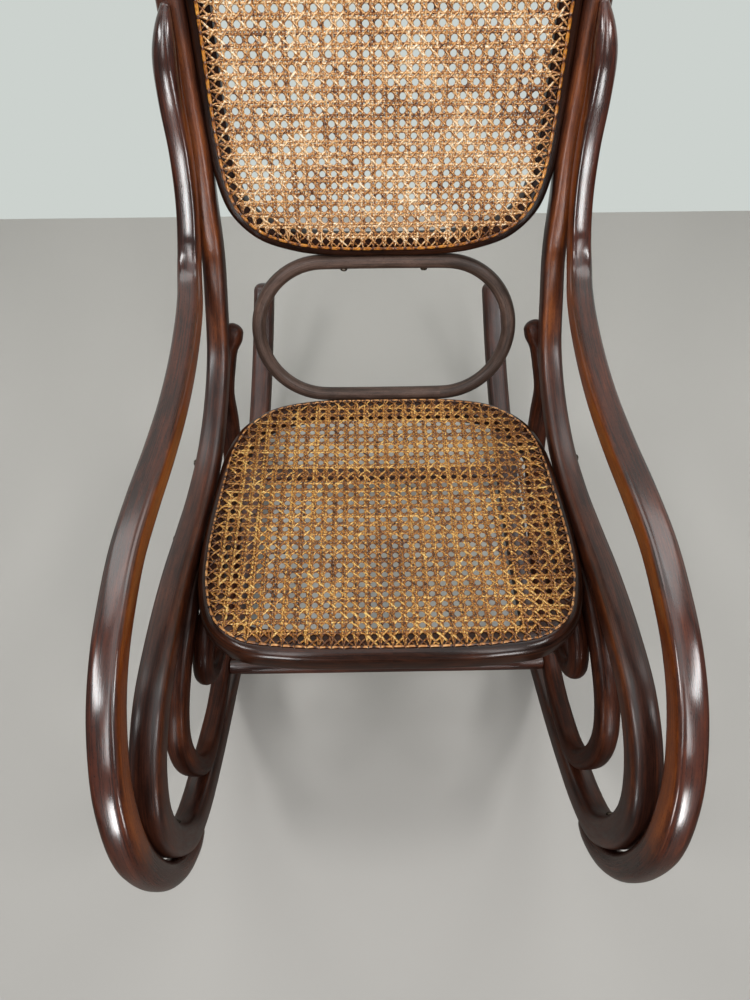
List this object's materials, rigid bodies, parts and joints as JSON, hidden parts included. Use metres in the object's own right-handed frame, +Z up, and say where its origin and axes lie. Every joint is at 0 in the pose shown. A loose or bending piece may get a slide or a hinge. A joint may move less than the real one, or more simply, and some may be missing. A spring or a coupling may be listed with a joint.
{
  "type": "bentwood rocking chair",
  "caption": "Bentwood rocking chair with scrolled arms and runners, a caned seat and back and an oval hoop between them",
  "frame": {"origin": "on the floor, under the middle of the chair's bounding box", "axes": "+X to the chair's right as seen from the front, +Y to the rear, +Z up; the front faces -Y"},
  "size_m": [0.5412, 0.987, 0.9933],
  "materials": {
    "dark_beech": "steam-bent beech, dark red-brown stain under glossy shellac, worn lighter on the arms",
    "hoop_beech": "steam-bent beech, near-black stain under satin shellac",
    "cane": "six-way woven rattan cane, golden, aged",
    "binder": "rattan binding strip, orange-brown, polished by wear",
    "screw": "round-headed steel wood screw, darkened"
  },
  "bodies": {
    "root": {"back_frame": "dark_beech", "back_cane_binding": "binder", "back_cane": "cane", "top_bow": "dark_beech", "left_arm_top_screw": "screw", "left_back_screw": "screw", "left_bow_screw": "screw", "right_arm_top_screw": "screw", "right_back_screw": "screw", "right_bow_screw": "screw", "seat_frame": "dark_beech", "seat_cane_binding": "binder", "seat_cane": "cane", "left_runner_upright": "dark_beech", "left_arm_bow": "dark_beech", "left_scroll": "dark_beech", "left_seat_curl": "dark_beech", "right_runner_upright": "dark_beech", "right_arm_bow": "dark_beech", "right_scroll": "dark_beech", "right_seat_curl": "dark_beech", "oval_hoop": "hoop_beech", "left_hoop_foot_screw": "screw", "left_hoop_head_screw": "screw", "right_hoop_foot_screw": "screw", "right_hoop_head_screw": "screw", "front_stretcher": "dark_beech", "rear_stretcher": "dark_beech", "left_seat_screw_front": "screw", "left_seat_screw_rear": "screw", "left_arm_front_screw": "screw", "left_scroll_runner_screw": "screw", "left_scroll_rear_screw": "screw", "left_curl_screw": "screw", "left_front_stretcher_screw": "screw", "left_rear_stretcher_screw": "screw", "right_seat_screw_front": "screw", "right_seat_screw_rear": "screw", "right_arm_front_screw": "screw", "right_scroll_runner_screw": "screw", "right_scroll_rear_screw": "screw", "right_curl_screw": "screw", "right_front_stretcher_screw": "screw", "right_rear_stretcher_screw": "screw"}
  },
  "joints": []
}
